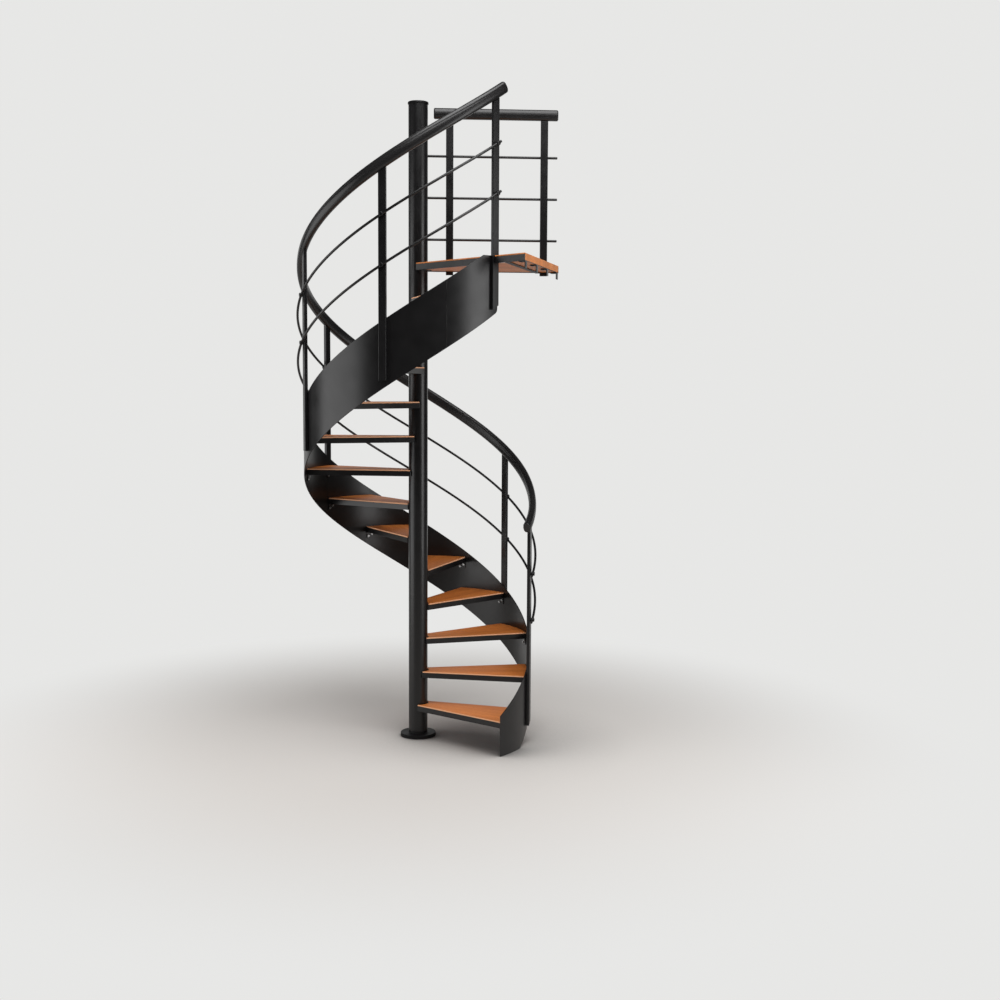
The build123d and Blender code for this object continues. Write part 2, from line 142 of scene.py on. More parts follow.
def powder_coat(name, smooth, rough, shine):
    """Powder coat: nearly black, a little cloudy, with the fine orange peel of the baked film.

    The powder lies thinner on undersides, which are duller.
    """
    material, tree, shader = new_material(name)
    place = put(tree, "ShaderNodeTexCoord").outputs["Object"]
    cloud = noise(tree, place, scale=2.6, detail=3.0)
    peel = noise(tree, place, scale=620.0, detail=1.0)
    handled = noise(tree, place, scale=11.0, detail=5.0)
    color = blended(tree, spread(tree, cloud, 0.0, 1.0), coat_dark, coat_light)
    gloss = spread(tree, handled, smooth, rough)
    facing = put(tree, "ShaderNodeNewGeometry").outputs["Normal"]
    upward = put(tree, "ShaderNodeSeparateXYZ", {0: facing}).outputs["Z"]
    dulled = remapped(tree, upward, underside_facing, (underside_roughness, gloss))
    sheen = remapped(tree, upward, underside_facing, (underside_shine, shine))
    tree.links.new(color, shader.inputs["Base Color"])
    tree.links.new(dulled, shader.inputs["Roughness"])
    tree.links.new(sheen, shader.inputs["Specular IOR Level"])
    bump = bumped(tree, strength=0.04, distance=0.0003, height=peel)
    tree.links.new(bump, shader.inputs["Normal"])
    return material


flange_black = powder_coat("scuffed_black_powder_coat", smooth=0.50, rough=0.62, shine=0.15)


def evaluated(thing):
    """What an object's modifiers make of it, as a plain mesh."""
    depsgraph = bpy.context.evaluated_depsgraph_get()
    return bpy.data.meshes.new_from_object(
        thing.evaluated_get(depsgraph), preserve_all_data_layers=True, depsgraph=depsgraph
    )


def piece(name, mesh, material, nodes, crease=35.0):
    """A finished mesh as a piece of the object, shaded smooth up to a crease angle.

    Its large faces set the shading, so that they stay flat beside their rounded edges.
    """
    mesh.materials.clear()
    mesh.materials.append(material)
    mesh.shade_smooth()
    mesh.set_sharp_from_angle(angle=radians(crease))
    thing = bpy.data.objects.new(name, mesh)
    bpy.context.scene.collection.objects.link(thing)
    shading = thing.modifiers.new("shading", "WEIGHTED_NORMAL")
    shading.keep_sharp = True
    thing.data = evaluated(thing)
    thing.modifiers.remove(shading)
    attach(thing, "root")
    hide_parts(*nodes)
    return thing


def ring(radius, height, sides):
    """Corners of a regular polygon round the column's axis, at a height."""
    turns = [2 * pi * k / sides for k in range(sides)]
    return [Vector((radius * cos(turn), radius * sin(turn), height)) for turn in turns]


def turned(outline, sides=turned_sides):
    """A turned shape: an outline of radii and heights, spun round the column's axis."""
    shape = bmesh.new()
    rings = []
    for radius, height in outline:
        if radius == 0.0:
            rings.append([shape.verts.new((0.0, 0.0, height))] * sides)
            continue
        rings.append([shape.verts.new(corner) for corner in ring(radius, height, sides)])
    for inner, outer in zip(rings, rings[1:]):
        for k in range(sides):
            corners = [inner[k], inner[k - 1], outer[k - 1], outer[k]]
            shape.faces.new(list(dict.fromkeys(corners)))
    bmesh.ops.recalc_face_normals(shape, faces=shape.faces)
    return shape


def arc(center, radius, start, end, steps):
    """Points on an arc round a center, between two angles in degrees."""
    return [
        (
            center[0] + radius * cos(radians(start + (end - start) * k / steps)),
            center[1] + radius * sin(radians(start + (end - start) * k / steps)),
        )
        for k in range(steps + 1)
    ]


def as_mesh(name, shape):
    """A bmesh written to a new mesh."""
    mesh = bpy.data.meshes.new(name)
    shape.to_mesh(mesh)
    shape.free()
    return mesh


rim_center = flange_radius - flange_rim
flange_outline = [(0.0, 0.0), (rim_center, 0.0)]
flange_outline += arc((rim_center, flange_rim), flange_rim, -90, 0, 4)[1:]
flange_outline += arc((rim_center, flange_top - flange_rim), flange_rim, 0, 90, 4)
flange_outline += [(column_radius + weld_leg, flange_top)]
flange_outline += arc((column_radius + weld_leg, flange_top + weld_leg), weld_leg, 270, 180, 5)[1:]
flange_outline += [(column_radius - weld_root, flange_top + weld_leg)]
flange_outline += [(0.0, flange_top + weld_leg)]
piece(
    "floor_flange", as_mesh("floor_flange", turned(flange_outline)), flange_black,
    ["base_flange"],
)

# Column
# A steel tube from the flange to just above the guard of the landing, with a pressed cap that has
# a rolled rim. Tube and cap are coated like the rest.
cap_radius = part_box("column_cap")[1].x
cap_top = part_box("column_cap")[1].z
cap_rim = 0.004
black_steel = powder_coat("satin_black_powder_coat", smooth=0.28, rough=0.36, shine=0.5)
column_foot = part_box("column_tube")[0].z
column_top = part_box("column_tube")[1].z
column_outline = [(0.0, column_foot), (column_radius, column_foot)]
column_outline += [(column_radius, column_top), (0.0, column_top)]
piece(
    "column", as_mesh("column", turned(column_outline)), black_steel,
    ["column_tube"],
)
cap_edge = cap_top - cap_rim
cap_outline = [(0.0, column_top), (cap_radius, column_top), (cap_radius, cap_edge)]
cap_outline += arc((cap_radius - cap_rim, cap_edge), cap_rim, 0, 90, 6)[1:]
cap_outline += [(0.0, cap_top)]
piece(
    "column_top_cap", as_mesh("column_top_cap", turned(cap_outline)), black_steel,
    ["column_cap"],
)

# Tread frames
# Each tread hangs in a frame welded of flat steel: two flanges, a curved end plate, a ledge for the
# board, a saddle on the column and two lugs. The thirteen are one shape, turned and lifted.
tread_count = 13
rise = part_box("tread_board_02")[1].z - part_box("tread_board_01")[1].z
tread_turn = radians(27.1)
frame_edge = 0.0009
copies_seed = 7
same_corner = 0.00001
same_face = radians(0.6)


def math(tree, operation, first, second=0.0):
    """A sum, a product or the like of two numbers."""
    return put(tree, "ShaderNodeMath", {0: first, 1: second}, operation=operation).outputs[0]


def shape_tree(name, sockets):
    """A node tree that makes a shape, and what its named inputs give."""
    tree = bpy.data.node_groups.new(name, "GeometryNodeTree")
    for socket, kind in sockets:
        tree.interface.new_socket(name=socket, in_out="INPUT", socket_type=kind)
    tree.interface.new_socket(name="Result", in_out="OUTPUT", socket_type="NodeSocketGeometry")
    return tree, put(tree, "NodeGroupInput").outputs


def end_tree(tree, shape, finish):
    """Ends a node tree: its copies become real, and take their material."""
    real = put(tree, "GeometryNodeRealizeInstances", {"Geometry": shape})
    coated = put(
        tree, "GeometryNodeSetMaterial", {"Geometry": real.outputs[0], "Material": finish}
    )
    put(tree, "NodeGroupOutput", {"Result": coated.outputs[0]})


def climbing_copies():
    """A node tree that repeats a shape up the stair, turned and lifted at each step."""
    tree, given = shape_tree("climbing_copies", (
        ("Shape", "NodeSocketGeometry"), ("Copies", "NodeSocketInt"), ("Turn", "NodeSocketFloat"),
        ("Lift", "NodeSocketFloat"), ("Seed", "NodeSocketInt"), ("Finish", "NodeSocketMaterial"),
    ))
    step = put(tree, "ShaderNodeCombineXYZ", {"Z": given["Lift"]})
    points = put(
        tree, "GeometryNodeMeshLine", {"Count": given["Copies"], "Offset": step.outputs[0]}
    )
    number = put(tree, "GeometryNodeInputIndex").outputs[0]
    turned_by = math(tree, "MULTIPLY", number, given["Turn"])
    rotation = put(tree, "ShaderNodeCombineXYZ", {"Z": turned_by})
    copies = put(
        tree, "GeometryNodeInstanceOnPoints",
        {"Points": points.outputs[0], "Instance": given["Shape"], "Rotation": rotation.outputs[0]},
    )
    chance = put(tree, "FunctionNodeRandomValue", {"ID": number, "Seed": given["Seed"]})
    marked = put(
        tree, "GeometryNodeStoreNamedAttribute",
        {"Geometry": copies.outputs[0], "Name": "own_chance", "Value": chance.outputs[1]},
        data_type="FLOAT", domain="INSTANCE",
    )
    end_tree(tree, marked.outputs[0], given["Finish"])
    return tree


climb_tree = climbing_copies()


def ease_edges(thing, width, segments, limit):
    """Rounds an object's edges past an angle or, where that is zero, its marked edges."""
    rounding = thing.modifiers.new("rounding", "BEVEL")
    rounding.width = width
    rounding.segments = segments
    rounding.limit_method = "ANGLE" if limit else "WEIGHT"
    rounding.angle_limit = radians(limit)
    rounding.use_clamp_overlap = True


def worked(name, mesh, tree=None, values=None, before=0.0, bevel=0.0, segments=2, limit=40.0):
    """What a node tree makes of a mesh, with its edges rounded before or after, as a plain mesh."""
    thing = bpy.data.objects.new(name + "_work", mesh)
    bpy.context.scene.collection.objects.link(thing)
    if before:
        ease_edges(thing, before, segments, limit)
    if tree:
        nodes = thing.modifiers.new("nodes", "NODES")
        nodes.node_group = tree
        named = {
            item.name: item.identifier for item in tree.interface.items_tree
            if item.item_type == "SOCKET" and item.in_out == "INPUT"
        }
        for key, value in values.items():
            nodes[named[key]] = value
    if bevel:
        ease_edges(thing, bevel, segments, limit)
    result = evaluated(thing)
    result.name = name
    bpy.data.objects.remove(thing)
    return result


def merged_copy(node, name):
    """A copy of a CAD node's mesh with its corners merged and its flat faces whole."""
    shape = bmesh.new()
    shape.from_mesh(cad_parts[node].data)
    bmesh.ops.remove_doubles(shape, verts=shape.verts, dist=same_corner)
    bmesh.ops.dissolve_limit(shape, angle_limit=same_face, verts=shape.verts, edges=shape.edges)
    return as_mesh(name, shape)


def climb(name, mesh, copies, turn_step, lift_step, material, **rounding):
    """A shape repeated up the stair by the node tree."""
    values = {
        "Copies": copies, "Turn": turn_step, "Lift": lift_step, "Seed": copies_seed,
        "Finish": material,
    }
    return worked(name, mesh, climb_tree, values, **rounding)


tread_numbers = [f"{number:02d}" for number in range(1, tread_count + 1)]
frame_mesh = merged_copy("tread_frame_01", "tread_frame_shape")
tread_frames = climb(
    "tread_frames", frame_mesh, tread_count, tread_turn, rise, black_steel, before=frame_edge
)
piece(
    "tread_frames", tread_frames, black_steel,
    [f"tread_frame_{number}" for number in tread_numbers],
)

# Tread boards
# Each board is glued up from orange-brown hardwood staves that run outwards, routed round its edge
# and oiled. It stands a little proud of its frame, and a painted highlight on its upright faces and
# eased edges makes its front edge show as a pale line.
tread_wedge = radians(20.7)
first_nosing = radians(-41.1)
front_offset = 0.054
rear_offset = 0.055
frame_inner = 0.0658
frame_outer = 0.6947
board_inset = 0.0053
lip_inset = 0.001
lip_depth = 0.008
board_thickness = 0.037
board_edge = 0.0018
board_arc_steps = 24
stave_width = 0.058
board_shift = 0.4
board_mark = 31.0
stave_shift = (3.0, 3.0, 3.0)
figure_grain = (1.6, 26.0, 26.0)
fibre_grain = (6.0, 260.0, 260.0)
pore_grain = (38.0, 1300.0, 1300.0)
wood_pale = (0.59, 0.198, 0.042, 1)
wood_deep = (0.48, 0.143, 0.028, 1)
fibre_brown = (0.40, 0.112, 0.024, 1)
pore_brown = (0.12, 0.035, 0.012, 1)
seam_brown = (0.15, 0.045, 0.015, 1)
painted_highlight_pale = (0.80, 0.47, 0.29, 1)
darkest_tone = 0.86
tone_spread = 0.30


def arc_about_axis(radius, start, end, steps):
    """Points on an arc round the column's axis."""
    return [
        (
            radius * cos(start + (end - start) * k / steps),
            radius * sin(start + (end - start) * k / steps),
        )
        for k in range(steps + 1)
    ]


def wedge_outline(angle, span, front, rear, inner, outer, steps):
    """Outline of a tread: two straight edges and two arcs round the column."""
    outer_start = angle - asin(front / outer)
    outer_end = angle + span + asin(rear / outer)
    inner_start = angle + span + asin(rear / inner)
    inner_end = angle - asin(front / inner)
    outline = arc_about_axis(outer, outer_start, outer_end, steps)
    return outline + arc_about_axis(inner, inner_start, inner_end, steps)


def stack(outlines):
    """A solid through outlines at heights, from the lowest up, with flat ends."""
    shape = bmesh.new()
    rings = [[shape.verts.new((x, y, height)) for x, y in outline] for outline, height in outlines]
    shape.faces.new(rings[0][::-1])
    shape.faces.new(rings[-1])
    for lower, upper in zip(rings, rings[1:]):
        for k in range(len(lower)):
            shape.faces.new((lower[k - 1], lower[k], upper[k], upper[k - 1]))
    bmesh.ops.recalc_face_normals(shape, faces=shape.faces)
    return shape


def slab(outline, bottom, top):
    """A flat outline made solid between two heights."""
    return stack([(outline, bottom), (outline, top)])


def lay_grain(mesh, angle):
    """Stores each point's place along, across and through the staves."""
    grain = mesh.attributes.new("grain_place", "FLOAT_VECTOR", "POINT")
    for vertex, entry in zip(mesh.vertices, grain.data):
        x, y, z = vertex.co
        entry.vector = (
            x * cos(angle) + y * sin(angle), y * cos(angle) - x * sin(angle), z
        )


def vector_math(tree, operation, first, second):
    """A sum or a product of two vectors."""
    inputs = {0: first, 1: second}
    return put(tree, "ShaderNodeVectorMath", inputs, operation=operation).outputs[0]


def scaled(tree, vector, factor):
    """A vector or a color times a number."""
    inputs = {0: vector, "Scale": factor}
    return put(tree, "ShaderNodeVectorMath", inputs, operation="SCALE").outputs[0]


def oiled_hardwood(name, highlight_strength):
    """Orange-brown hardwood in glued staves, each with its own tone, figure and fine pores.

    Its last argument sets how far a painted highlight makes its upright faces and eased
    edges pale.
    """
    material, tree, shader = new_material(name)
    place = put(tree, "ShaderNodeAttribute", attribute_name="grain_place").outputs["Vector"]
    chance = put(tree, "ShaderNodeAttribute", attribute_name="own_chance").outputs["Fac"]
    across = put(tree, "ShaderNodeSeparateXYZ", {0: place}).outputs["Y"]
    shifted = math(tree, "ADD", across, math(tree, "MULTIPLY", chance, board_shift))
    staves = math(tree, "DIVIDE", shifted, stave_width)
    stave_mark = put(tree, "ShaderNodeCombineXYZ", {
        "X": math(tree, "FLOOR", staves), "Y": math(tree, "MULTIPLY", chance, board_mark),
    })
    own = put(tree, "ShaderNodeTexWhiteNoise", {"Vector": stave_mark.outputs[0]}).outputs
    own_offset = vector_math(tree, "MULTIPLY", own["Color"], stave_shift)
    local = vector_math(tree, "ADD", place, own_offset)
    figure_place, fibre_place, pore_place = [
        vector_math(tree, "MULTIPLY", local, grain) for grain in (figure_grain, fibre_grain, pore_grain)
    ]
    figure = noise(tree, figure_place, scale=1.0, detail=4.0, distortion=0.5)
    fibre = noise(tree, fibre_place, scale=1.0, detail=3.0)
    pore = noise(tree, pore_place, scale=1.0, detail=0.0)
    color = blended(tree, spread(tree, figure, 0.0, 1.0), wood_pale, wood_deep)
    color = blended(tree, spread(tree, fibre, 0.0, 0.45), color, fibre_brown)
    tone = math(tree, "ADD", math(tree, "MULTIPLY", own["Value"], tone_spread), darkest_tone)
    pored = remapped(tree, pore, before=(0.60, 0.72), after=(0.0, 0.5))
    color = blended(tree, pored, scaled(tree, color, tone), pore_brown)
    off_middle = math(tree, "ABSOLUTE", math(tree, "SUBTRACT", math(tree, "FRACT", staves), 0.5))
    seam = remapped(tree, off_middle, before=(0.491, 0.499), after=(0.0, 0.55))
    color = blended(tree, seam, color, seam_brown)
    # Painted highlight: upright faces and eased edges are painted paler, in patches that follow the
    # figure.
    facing = put(tree, "ShaderNodeNewGeometry").outputs["Normal"]
    level = math(tree, "ABSOLUTE", put(tree, "ShaderNodeSeparateXYZ", {0: facing}).outputs["Z"])
    painted_highlight = remapped(tree, level, before=(0.45, 0.95), after=(highlight_strength, 0.0))
    painted_highlight = math(tree, "MULTIPLY", painted_highlight, spread(tree, figure, 1.0, 0.75))
    color = blended(tree, painted_highlight, color, painted_highlight_pale)
    relief = math(tree, "SUBTRACT", math(tree, "MULTIPLY", fibre, 0.4), pored)
    tree.links.new(color, shader.inputs["Base Color"])
    tree.links.new(spread(tree, fibre, 0.46, 0.58), shader.inputs["Roughness"])
    bump = bumped(tree, strength=0.25, distance=0.0003, height=relief)
    tree.links.new(bump, shader.inputs["Normal"])
    shader.inputs["Specular IOR Level"].default_value = 0.15
    return material


oiled_wood = oiled_hardwood("oiled_orange_brown_wood", highlight_strength=0.85)
body_outline, lip_outline = [
    wedge_outline(
        first_nosing, tread_wedge, front_offset - inset, rear_offset - inset,
        frame_inner + inset, frame_outer - inset, board_arc_steps,
    )
    for inset in (board_inset, lip_inset)
]
board_shape = stack([
    (body_outline, rise - board_thickness), (body_outline, rise - lip_depth),
    (lip_outline, rise - lip_depth), (lip_outline, rise),
])
board_mesh = as_mesh("board_shape", board_shape)
board_mesh = worked("board_shape", board_mesh, bevel=board_edge, segments=3)
lay_grain(board_mesh, first_nosing + tread_wedge / 2)
tread_boards = climb("tread_boards", board_mesh, tread_count, tread_turn, rise, oiled_wood)
piece(
    "tread_boards", tread_boards, oiled_wood,
    [f"tread_board_{number}" for number in tread_numbers],
)

# Tread bolts
# Two bright zinc bolts with washers hold each lug to the stringer. They lie parallel to the climb,
# and their heads point towards the column.
bolt_across = 0.013
bolt_height = 0.0055
bolt_chamfer = 0.0011
chamfered_share = 0.86
hexagon_sides = 6
washer_sides = 18
washer_radius = 0.0085
washer_thickness = 0.0016
lug_face = frame_outer - 0.005
lug_drop = 0.038
lug_width = 0.046
bolt_pitch = 0.026
frame_depth = 0.040
bolt_slope = atan(rise / (tread_turn * lug_face))
zinc_bright = (0.42, 0.42, 0.41, 1)
zinc_dull = (0.31, 0.32, 0.33, 1)


def zinc_plate(name):
    """Bright zinc: metal with a fine blotched passivation."""
    material, tree, shader = new_material(name)
    place = put(tree, "ShaderNodeTexCoord").outputs["Object"]
    blotch = noise(tree, place, scale=260.0, detail=3.0)
    color = blended(tree, spread(tree, blotch, 0.0, 1.0), zinc_bright, zinc_dull)
    tree.links.new(color, shader.inputs["Base Color"])
    tree.links.new(spread(tree, blotch, 0.22, 0.38), shader.inputs["Roughness"])
    shader.inputs["Metallic"].default_value = 1.0
    return material


zinc = zinc_plate("bright_zinc_plate")


def bolt_shape(shape, place):
    """A hexagon head with a chamfered top, on a washer, stood on a place's XY plane."""
    corner = bolt_across / 2 / cos(pi / hexagon_sides)
    head_top = washer_thickness + bolt_height
    washer = [(washer_radius, 0.0), (washer_radius, washer_thickness)]
    head = [
        (corner, washer_thickness), (corner, head_top - bolt_chamfer),
        (corner * chamfered_share, head_top),
    ]
    for outline, sides in ((washer, washer_sides), (head, hexagon_sides)):
        rings = [
            [shape.verts.new(place @ corner) for corner in ring(radius, height, sides)]
            for radius, height in outline
        ]
        for lower, upper in zip(rings, rings[1:]):
            for k in range(sides):
                shape.faces.new((lower[k - 1], lower[k], upper[k], upper[k - 1]))
        shape.faces.new(rings[-1])
        shape.faces.new(rings[0][::-1])


bolts = bmesh.new()
front_corner = first_nosing - asin(front_offset / frame_outer)
rear_corner = first_nosing + tread_wedge + asin(rear_offset / frame_outer)
half_lug = lug_width / 2 / frame_outer
for middle in (front_corner + half_lug, rear_corner - half_lug):
    for side in (-1, 1):
        angle = middle + side * bolt_pitch / 2 / lug_face
        height = rise - frame_depth - lug_drop / 2 - side * bolt_pitch / 2 * sin(bolt_slope)
        inward = Matrix.Rotation(angle, 4, "Z") @ Matrix.Translation((lug_face, 0, height))
        bolt_shape(bolts, inward @ Matrix.Rotation(-pi / 2, 4, "Y"))
bmesh.ops.recalc_face_normals(bolts, faces=bolts.faces)
bolt_mesh = as_mesh("bolt_shape", bolts)
tread_bolts = climb("tread_bolts", bolt_mesh, tread_count, tread_turn, rise, zinc)
piece("tread_bolts", tread_bolts, zinc, [], crease=25.0)

# Stringer
# One helical plate outside the treads, rolled from flat steel in four sections that butt together.
# Its foot is cut level on the floor, and its head level with the landing and rounded below.
stair_radius = 0.700
plate_thickness = 0.005
above_nosing = 0.037
below_nosing = 0.346
first_corner = first_nosing - asin(front_offset / stair_radius)
foot_ahead = 0.003
head_beyond = 0.044
head_rounding = 0.016
section_treads = 5
section_gap = 0.0008
plate_edge = 0.0008
landing_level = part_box("landing_board")[1].z
degrees_a_step = 1.25
fewest_steps = 4
rounding_steps = 10


def nosing_height(angle):
    """Height of the line through the outer corners of the treads' noses."""
    return rise * (1 + (angle - first_corner) / tread_turn)


def nosing_angle(height):
    """Angle at which that line has a height."""
    return first_corner + tread_turn * (height / rise - 1)


foot_angle = first_corner - foot_ahead / stair_radius
head_angle = nosing_angle(landing_level) + head_beyond / stair_radius


def plate_heights(angle):
    """Lower and upper edge of the plate at an angle."""
    lower = max(0.0, nosing_height(angle) - below_nosing)
    left = stair_radius * (head_angle - angle)
    if left < head_rounding:
        lower += head_rounding - sqrt(head_rounding**2 - (head_rounding - max(left, 0.0))**2)
    return lower, min(landing_level, nosing_height(angle) + above_nosing)


def plate_angles(start, end):
    """Where the plate's cross-sections stand, closer together at the rounded head."""
    steps = max(fewest_steps, round(degrees(end - start) / degrees_a_step))
    angles = [start + (end - start) * k / steps for k in range(steps + 1)]
    if end == head_angle:
        reach = head_rounding / stair_radius
        angles = [angle for angle in angles if angle < end - reach]
        angles += [
            end - reach * (1 - sin(pi / 2 * k / rounding_steps)) for k in range(rounding_steps + 1)
        ]
    for turning_point in (
        nosing_angle(below_nosing), nosing_angle(landing_level - above_nosing)
    ):
        if start < turning_point < end:
            angles.append(turning_point)
    return sorted(angles)


def plate(start, end):
    """One section of the plate, with its long edges marked for easing."""
    shape = bmesh.new()
    weight = shape.edges.layers.float.new("bevel_weight_edge")
    rings = []
    inner = stair_radius - plate_thickness
    for angle in plate_angles(start, end):
        lower, upper = plate_heights(angle)
        corners = ((stair_radius, lower), (stair_radius, upper), (inner, upper), (inner, lower))
        rings.append([
            shape.verts.new((radius * cos(angle), radius * sin(angle), height))
            for radius, height in corners
        ])
    for first, second in zip(rings, rings[1:]):
        for k in range(4):
            shape.faces.new((first[k - 1], first[k], second[k], second[k - 1]))
        for corner, following in zip(first, second):
            shape.edges.get((corner, following))[weight] = 1.0
    shape.faces.new(rings[0])
    shape.faces.new(rings[-1][::-1])
    bmesh.ops.recalc_face_normals(shape, faces=shape.faces)
    return shape


section_ends = [foot_angle]
seam = head_angle - tread_turn
while seam > foot_angle + 2 * foot_ahead / stair_radius:
    section_ends.insert(1, seam)
    seam -= section_treads * tread_turn
section_ends.append(head_angle)
for number, (start, end) in enumerate(zip(section_ends, section_ends[1:]), start=1):
    stop = end if end == head_angle else end - section_gap / stair_radius
    rough = as_mesh(f"stringer_plate_{number}", plate(start, stop))
    smooth = worked(f"stringer_plate_{number}", rough, bevel=plate_edge, limit=0.0)
    piece(f"stringer_plate_{number}", smooth, black_steel, [f"stringer_{number}"])

# Stair posts
# Seven flat steel posts with rounded edges stand outside the stringer, two treads apart. Their
# lower ends reach most of the way down the plate, and their tops are cut to the handrail's slope.
post_width = 0.045
post_depth = 0.020
post_corner = 0.003
post_count = 7
post_treads = 2
post_beyond = 0.014
post_below = 0.303
post_edge = 0.0012
guard_height = 0.934
guard_loss = 0.037
rail_height = 0.066
rail_overhang = 0.072
rail_easing = radians(35.0)
rail_end_lift = 0.024
seat = 0.0003
slope_step = 0.02
post_radius = stair_radius + seat + post_depth / 2
first_post = first_corner + tread_turn + post_beyond / stair_radius
guard_span = (post_count - 1) * post_treads * tread_turn
last_post = first_post + guard_span
rail_start = first_post - rail_overhang / post_radius
rail_end = last_post + rail_overhang / post_radius


def guard_line(angle, height, loss):
    """Height of a guard line, which loses a little over the noses on its way up."""
    return nosing_height(angle) + height - loss * (angle - first_post) / guard_span


def rail_line(angle):
    """Height of the handrail's middle, which eases off towards its lower end."""
    eased = max(0.0, 1 - (angle - rail_start) / rail_easing)
    return guard_line(angle, guard_height, guard_loss) + rail_end_lift * eased**2


def rounded_rectangle(width, height, radius, steps=4):
    """Outline of a rectangle with round corners, about the origin."""
    outline = []
    for quarter in range(4):
        x = (width / 2 - radius) * (1 if quarter in (0, 3) else -1)
        y = (height / 2 - radius) * (1 if quarter in (0, 1) else -1)
        outline += arc((x, y), radius, 90 * quarter, 90 * quarter + 90, steps)
    return outline


def joined(name, meshes):
    """Several meshes as one."""
    whole = bmesh.new()
    for mesh in meshes:
        whole.from_mesh(mesh)
        bpy.data.meshes.remove(mesh)
    return as_mesh(name, whole)


def stair_post(angle):
    """A flat post by the stringer, with its top cut to the handrail's slope."""
    climbed = rail_line(angle + slope_step) - rail_line(angle - slope_step)
    slope = climbed / (2 * slope_step * post_radius)
    under_rail = rail_height / 2 / cos(atan(slope)) + seat
    bottom = nosing_height(angle) - post_below
    top = rail_line(angle) - under_rail
    shape = slab(rounded_rectangle(post_depth, post_width, post_corner), bottom, top)
    for vertex in shape.verts:
        if vertex.co.z > bottom:
            vertex.co.z += vertex.co.y * slope
    place = Matrix.Rotation(angle, 4, "Z") @ Matrix.Translation((post_radius, 0, 0))
    bmesh.ops.transform(shape, matrix=place, verts=shape.verts)
    return as_mesh("post_shape", shape)


post_angles = [first_post + post_treads * tread_turn * number for number in range(post_count)]
stair_posts = worked(
    "stair_posts_flat", joined("post_shapes", [stair_post(angle) for angle in post_angles]),
    bevel=post_edge, limit=60.0,
)
piece("stair_posts_flat", stair_posts, black_steel, ["stair_posts"])

# Handrail
# A moulded black rail with a groove along each side, clipped over the posts' tops. Its ends are
# closed with rounded caps.
rail_width = 0.046
rail_cap = 0.012
groove_depth = 0.0018
groove_width = 0.0045
groove_height = 0.012
oval_power = 2.5
rail_trim = 0.0007
rail_steps = 340
rail_dark = (0.0070, 0.0066, 0.0069, 1)
rail_light = (0.0100, 0.0094, 0.0097, 1)


def helical_bar():
    """A node tree that carries an outline along the climb, upright all the way."""
    tree, given = shape_tree("helical_bar", (
        ("Outline", "NodeSocketGeometry"), ("Radius", "NodeSocketFloat"),
        ("Start", "NodeSocketFloat"), ("End", "NodeSocketFloat"), ("Height", "NodeSocketFloat"),
        ("Climb", "NodeSocketFloat"), ("Steps", "NodeSocketInt"), ("Easing", "NodeSocketFloat"),
        ("Lift", "NodeSocketFloat"), ("Finish", "NodeSocketMaterial"),
    ))
    line = put(tree, "GeometryNodeMeshLine", {"Count": given["Steps"]})
    number = put(tree, "GeometryNodeInputIndex").outputs[0]
    share = math(tree, "DIVIDE", number, math(tree, "SUBTRACT", given["Steps"], 1.0))
    span = math(tree, "SUBTRACT", given["End"], given["Start"])
    passed = math(tree, "MULTIPLY", share, span)
    angle = math(tree, "ADD", given["Start"], passed)
    straight = math(tree, "ADD", given["Height"], math(tree, "MULTIPLY", passed, given["Climb"]))
    left = math(tree, "SUBTRACT", 1.0, math(tree, "DIVIDE", passed, given["Easing"]))
    eased = math(tree, "MAXIMUM", left, 0.0)
    lifted = math(tree, "MULTIPLY", given["Lift"], math(tree, "MULTIPLY", eased, eased))
    place = put(tree, "ShaderNodeCombineXYZ", {
        "X": math(tree, "MULTIPLY", given["Radius"], math(tree, "COSINE", angle)),
        "Y": math(tree, "MULTIPLY", given["Radius"], math(tree, "SINE", angle)),
        "Z": math(tree, "ADD", straight, lifted),
    })
    placed = put(
        tree, "GeometryNodeSetPosition", {"Geometry": line.outputs[0], "Position": place.outputs[0]}
    )
    path = put(tree, "GeometryNodeMeshToCurve", {"Mesh": placed.outputs[0]})
    upright = put(tree, "GeometryNodeSetCurveNormal", {"Curve": path.outputs[0]}, mode="Z_UP")
    outline = put(tree, "GeometryNodeMeshToCurve", {"Mesh": given["Outline"]})
    bar = put(
        tree, "GeometryNodeCurveToMesh",
        {"Curve": upright.outputs[0], "Profile Curve": outline.outputs[0], "Fill Caps": True},
    )
    end_tree(tree, bar.outputs[0], given["Finish"])
    return tree


bar_tree = helical_bar()


def outline_mesh(name, outline):
    """A closed outline as a mesh of edges."""
    mesh = bpy.data.meshes.new(name)
    count = len(outline)
    edges = [(k, (k + 1) % count) for k in range(count)]
    mesh.from_pydata([(x, y, 0.0) for x, y in outline], edges, [])
    return mesh


def along_climb(name, outline, radius, ends, line, material, steps, lift=0.0, **rounding):
    """A bar with an outline, along a guard line, lifted towards its lower end."""
    start, end = ends
    foot = guard_line(start, *line)
    values = {
        "Radius": radius, "Start": start, "End": end, "Height": foot,
        "Climb": (guard_line(end, *line) - foot) / (end - start), "Steps": steps,
        "Easing": rail_easing, "Lift": lift, "Finish": material,
    }
    return worked(name, outline_mesh(name, outline), bar_tree, values, **rounding)


def rail_outline(steps=56):
    """Outline of the moulded rail: a rounded oval with a groove along each side."""
    outline = []
    for k in range(steps):
        turn_angle = 2 * pi * k / steps
        power = 2 / oval_power
        x = rail_width / 2 * abs(cos(turn_angle))**power * (1 if cos(turn_angle) >= 0 else -1)
        y = rail_height / 2 * abs(sin(turn_angle))**power * (1 if sin(turn_angle) >= 0 else -1)
        dip = max(0.0, 1 - abs(y + groove_height) / groove_width)
        outline.append((x - groove_depth * dip * (1 if x > 0 else -1), y))
    return outline


